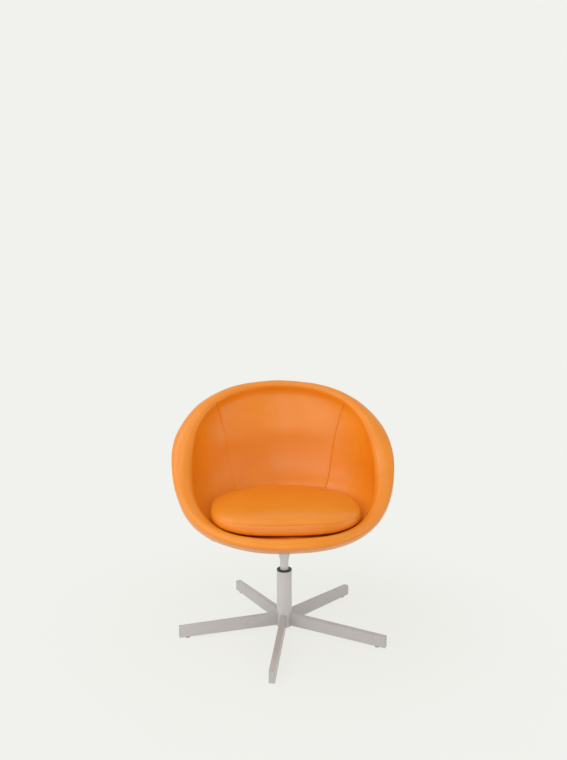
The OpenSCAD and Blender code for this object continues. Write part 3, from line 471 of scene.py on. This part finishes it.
def shell_surface():
    """Points of the leather over the shell, with its two darts and slight unevenness."""
    s = np.concatenate([np.linspace(0, 1, ROWS_OUT), OUTERMOST + np.linspace(0, 1, ROWS_ROLL)[1:],
                        INNER + np.linspace(0, LAST_ROW, ROWS_IN)[1:]])
    hold = np.clip((s - SEAM_TAKES) / SEAM_OVER, 0, 1)
    a = np.tile(COLS, (len(s), 1))
    for mid, side in SEAMS:
        shift = (seam_angle(s, side) - SEAM_MID) * side * hold
        reach = rise(1 - np.abs(COLS - mid) / SEAM_PULL, 0, 1)
        a = a + shift[:, None] * reach[None]
    p = shell_point(np.radians(a), np.tile(s[:, None], (1, len(COLS))))
    push = swell(p, WAVES[:12], *BROAD) + swell(p, WAVES[12:], *RIPPLE)
    step = np.linalg.norm(np.roll(p, -1, 1) - p, axis=-1)
    for mid, _ in SEAMS:
        push += dart_push(p, s, step, mid)
    return p + normals(p) * push[..., None]


# The shell's cover: an outer and an inner face, joined round the flat underside
top = shell_surface()
n_rows, n_cols = top.shape[:2]
under = top - normals(top) * COVER_T
pan_top = np.array([[0, -PAN_AHEAD, PAN_H]])
verts = np.concatenate([top.reshape(-1, 3), pan_top,
                        under.reshape(-1, 3), pan_top - [[0, 0, COVER_T]]])
size = n_rows * n_cols + 1
faces = grid_faces(n_rows, n_cols)
faces += [[f[0] + size, f[3] + size, f[2] + size, f[1] + size] for f in faces]
last = (n_rows - 1) * n_cols
for k in range(n_cols):
    j = (k + 1) % n_cols
    faces.append([last + k, last + j, size - 1])
    faces.append([size + last + j, size + last + k, 2 * size - 1])
    faces.append([j, k, size + k, size + j])
shell = add_object("shell_upholstery", verts, faces, LEATHER)
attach(shell, "seat")
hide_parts("outer_cover", "outer_wadding", "pan_foam", "back_foam", "arm_foam_left",
            "arm_foam_right", "front_foam", "back_panel", "arm_panel_left", "arm_panel_right",
            "front_panel", "pan_panel")


# Cushion: a crowned form that a cloth simulation blows up, with a welt round it
def cushion_point(a, u, inset=0.0):
    """u goes from 0 at the crown, through 1 at the fullest line, to 2 at the middle underneath."""
    n = np.where(np.sin(a) < 0, CUSHION_FRONT_SHARE, CUSHION_REAR_SHARE)
    depth = np.where(np.sin(a) < 0, CUSHION_FRONT, CUSHION_REAR) - inset
    plan = np.stack([(CUSHION_W / 2 - inset) * signed_power(np.cos(a), 2 / n),
                     depth * signed_power(np.sin(a), 2 / n)], -1)
    ahead = np.maximum(0, -np.sin(a))
    top = CUSHION_TOP + (CUSHION_TOP_FRONT - CUSHION_TOP) * ahead ** 2
    under = CUSHION_UNDER_SIDE + (CUSHION_UNDER_FRONT - CUSHION_UNDER_SIDE) * ahead ** 4
    high = u < 1
    f, q = corner(np.where(high, u, 2 - u), np.where(high, top, under))
    line = CUSHION_LINE_H - CUSHION_FRONT_DROP * ahead ** 2
    crown = CUSHION_LINE_H + CUSHION_CROWN - inset
    above = crown - line - CUSHION_SLOPE * ahead * f ** 2
    z = line + np.where(high, above, CUSHION_FLOOR - line) * q
    plan = plan * f[..., None] - [0, CUSHION_AHEAD]
    plan[..., 1] += CUSHION_TILT * ahead * f ** 4 * (z - CUSHION_FLOOR)
    return np.dstack([plan, z])


def closed_mesh(name, grid, mat):
    """Mesh of a grid whose first and last rows are closed by a point each."""
    rows, cols = grid.shape[:2]
    ends = [grid[0].mean(0), grid[-1].mean(0)]
    faces = [[f[0], f[3], f[2], f[1]] for f in grid_faces(rows, cols)]
    total = rows * cols
    for k in range(cols):
        j = (k + 1) % cols
        faces.append([k, j, total])
        faces.append([(rows - 1) * cols + j, (rows - 1) * cols + k, total + 1])
    return add_object(name, np.concatenate([grid.reshape(-1, 3), ends]), faces, mat)


def coords(o):
    v = np.empty(len(o.data.vertices) * 3)
    o.data.vertices.foreach_get("co", v)
    return v.reshape(-1, 3)


def set_coords(o, v):
    o.data.vertices.foreach_set("co", v.reshape(-1))
    o.data.update()


def apply_modifiers(o):
    graph = bpy.context.evaluated_depsgraph_get()
    mesh = bpy.data.meshes.new_from_object(o.evaluated_get(graph))
    o.modifiers.clear()
    o.data = mesh


def blow_up(o, cap):
    """Cloth under pressure, held underneath; its moves are capped and evened out over the edges."""
    rest = coords(o)
    hold = o.vertex_groups.new(name="hold")
    hold.add(np.where(rest[:, 2] < CUSHION_FLOOR + HOLD_H)[0].tolist(), 1, "REPLACE")
    cloth = modify(o, "CLOTH").settings
    cloth.quality = CLOTH_QUALITY
    cloth.mass = CLOTH_MASS
    cloth.tension_stiffness = cloth.compression_stiffness = CLOTH_STIFFNESS
    cloth.bending_stiffness = CLOTH_BENDING
    cloth.use_pressure = True
    cloth.uniform_pressure_force = CLOTH_PRESSURE
    cloth.vertex_group_mass = "hold"
    cloth.effector_weights.gravity = 0
    for frame_now in range(1, CLOTH_FRAMES + 1):
        scene.frame_set(frame_now)
    apply_modifiers(o)
    move = coords(o) - rest
    length = np.linalg.norm(move, axis=1, keepdims=True)
    move *= np.minimum(1, cap / np.maximum(length, 1e-9))
    ends = np.empty(len(o.data.edges) * 2, int)
    o.data.edges.foreach_get("vertices", ends)
    ends = ends.reshape(-1, 2)
    count = np.bincount(ends.ravel(), minlength=len(rest))[:, None]
    for _ in range(EVEN_OUT):
        total = np.zeros_like(move)
        np.add.at(total, ends[:, 0], move[ends[:, 1]])
        np.add.at(total, ends[:, 1], move[ends[:, 0]])
        move = (move + total / count) / 2
    set_coords(o, rest + move)
    scene.frame_set(1)


def fill_box(o, low, high):
    """Scale the object so that it fills the box between two corners."""
    v = coords(o)
    first = v.min(0)
    set_coords(o, np.array(low) + (v - first) * (np.array(high) - low) / (v.max(0) - first))


def tube_mesh(name, path, normal, radius, mat):
    """Closed tube round a looped path; normal is the surface's at each point."""
    along = np.roll(path, -1, 0) - np.roll(path, 1, 0)
    along /= np.linalg.norm(along, axis=1, keepdims=True)
    side = np.cross(along, normal)
    side /= np.linalg.norm(side, axis=1, keepdims=True)
    up = np.cross(side, along)
    t = (np.arange(WELT_SIDES) * 2 * np.pi / WELT_SIDES)[None, :, None]
    rings = path[:, None] + radius * (np.cos(t) * side[:, None] + np.sin(t) * up[:, None])
    n, m = len(path), WELT_SIDES
    faces = [[i * m + j, (i + 1) % n * m + j, (i + 1) % n * m + (j + 1) % m, i * m + (j + 1) % m]
             for i in range(n) for j in range(m)]
    return add_object(name, rings.reshape(-1, 3), faces, mat)


turn = np.radians((np.arange(CUSHION_COLS) + 0.5) * 360 / CUSHION_COLS)
rows = np.linspace(0, 2, CUSHION_ROWS)[1:-1]
form = cushion_point(*np.meshgrid(turn, rows), CUSHION_INSET)
cushion = closed_mesh("seat_cushion", form, LEATHER)
modify(cushion, "REMESH", mode="VOXEL", voxel_size=VOXEL, use_smooth_shade=True)
modify(cushion, "SMOOTH", iterations=2)
apply_modifiers(cushion)
blow_up(cushion, SWELL_CAP)
modify(cushion, "SMOOTH", iterations=3)
apply_modifiers(cushion)
modify(cushion, "SUBSURF", levels=1, render_levels=1)
apply_modifiers(cushion)
cushion.data.polygons.foreach_set("use_smooth", [True] * len(cushion.data.polygons))
fill_box(cushion, (-CUSHION_W / 2, -CUSHION_AHEAD - CUSHION_FRONT, CUSHION_FLOOR),
         (CUSHION_W / 2, CUSHION_REAR - CUSHION_AHEAD, CUSHION_LINE_H + CUSHION_CROWN))
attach(cushion, "seat")
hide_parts("cushion_foam", "cushion_top_panel", "cushion_border", "cushion_base_panel")

surface = BVHTree.FromPolygons(coords(cushion).tolist(),
                               [tuple(f.vertices) for f in cushion.data.polygons])
seam = cushion_point(turn[None], np.full((1, len(turn)), CUSHION_SEAM))[0]
found = [surface.find_nearest(Vector(v)) for v in seam]
spots = np.array([f[0] for f in found])
facing = np.array([f[1] for f in found])
for _ in range(3):
    spots, facing = [(np.roll(v, 1, 0) + 2 * v + np.roll(v, -1, 0)) / 4 for v in (spots, facing)]
welt = tube_mesh("cushion_welt", spots + facing * WELT_OUT, facing, WELT_R, LEATHER)
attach(welt, "seat")


# Studio: a pale floor that turns into the backdrop, plain soft lamps and a pale world
BACKDROP = (0.880, 0.888, 0.847)
FLOOR, FLOOR_HALF = (0.86, 0.858, 0.835), 15
# Share of the floor that glows as the backdrop, near the base, and where it grows to all of it
FLOOR_GLOW, FLOOR_FADE = 0.85, (0.40, 1.0)
WORLD_COLOR, WORLD_LIGHT = (1.0, 0.99, 0.97), 0.58
LAMP_TARGET = Vector((0, 0, 0.5))
# Each lamp is a disc: its place, diameter and watts
LAMPS = {
    "left": ((-2.93, 0.0, 1.12), 2.2, 5),
    "high_left": ((-1.60, 0.20, 3.00), 1.1, 10),
    "top": ((-0.25, -0.55, 3.40), 0.9, 6),
    "key": ((-2.46, -1.15, 1.77), 1.4, 11),
    "front_left": ((-1.62, -2.31, 1.53), 2.0, 14),
    "front": ((0, -2.84, 1.45), 1.4, 9),
    "fill": ((2.72, -0.99, 1.28), 2.2, 12),
}


def seen_rays(nodes, links):
    """1 for rays that show the backdrop, from the camera or through gloss or glass, else 0."""
    path = nodes.new("ShaderNodeLightPath")
    total = path.outputs["Is Camera Ray"]
    for kind in ("Is Glossy Ray", "Is Transmission Ray"):
        larger = nodes.new("ShaderNodeMath")
        larger.operation = "MAXIMUM"
        links.new(total, larger.inputs[0])
        links.new(path.outputs[kind], larger.inputs[1])
        total = larger.outputs[0]
    return total


def floor_material():
    """It takes the object's soft shadow near the base and turns into the backdrop further out."""
    mat = bpy.data.materials.new("pale_floor")
    mat.use_nodes = True
    nodes, links = mat.node_tree.nodes, mat.node_tree.links
    nodes.clear()
    out = nodes.new("ShaderNodeOutputMaterial")
    diffuse = nodes.new("ShaderNodeBsdfDiffuse")
    diffuse.inputs["Color"].default_value = (*FLOOR, 1)
    glow = nodes.new("ShaderNodeEmission")
    glow.inputs["Color"].default_value = (*BACKDROP, 1)
    reach = nodes.new("ShaderNodeVectorMath")
    reach.operation = "LENGTH"
    links.new(nodes.new("ShaderNodeTexCoord").outputs["Object"], reach.inputs[0])
    share = nodes.new("ShaderNodeMath")
    share.operation = "MULTIPLY"
    links.new(seen_rays(nodes, links), share.inputs[0])
    links.new(ramp(nodes, links, reach.outputs["Value"], FLOOR_GLOW, 1, *FLOOR_FADE),
              share.inputs[1])
    blend = nodes.new("ShaderNodeMixShader")
    links.new(share.outputs[0], blend.inputs[0])
    links.new(diffuse.outputs[0], blend.inputs[1])
    links.new(glow.outputs[0], blend.inputs[2])
    links.new(blend.outputs[0], out.inputs[0])
    return mat


half = FLOOR_HALF
square = np.array([(-half, -half, 0), (half, -half, 0), (half, half, 0), (-half, half, 0)])
floor = add_object("floor", square, [(0, 1, 2, 3)], floor_material())

world = bpy.data.worlds.new("studio")
scene.world = world
world.use_nodes = True
wn, wl = world.node_tree.nodes, world.node_tree.links
wn.clear()
w_out, w_mix = wn.new("ShaderNodeOutputWorld"), wn.new("ShaderNodeMixShader")
w_seen, w_light = wn.new("ShaderNodeBackground"), wn.new("ShaderNodeBackground")
w_seen.inputs["Color"].default_value = (*BACKDROP, 1)
w_light.inputs["Color"].default_value = (*WORLD_COLOR, 1)
w_light.inputs["Strength"].default_value = WORLD_LIGHT
wl.new(seen_rays(wn, wl), w_mix.inputs[0])
wl.new(w_light.outputs[0], w_mix.inputs[1])
wl.new(w_seen.outputs[0], w_mix.inputs[2])
wl.new(w_mix.outputs[0], w_out.inputs[0])

for name, (place, diameter, watts) in LAMPS.items():
    data = bpy.data.lights.new(name, "AREA")
    data.shape = "DISK"
    data.size = diameter
    data.energy = watts
    lamp = bpy.data.objects.new(name, data)
    lamp.location = place
    lamp.rotation_euler = (LAMP_TARGET - lamp.location).to_track_quat("-Z", "Y").to_euler()
    scene.collection.objects.link(lamp)

scene.view_settings.view_transform = "Standard"
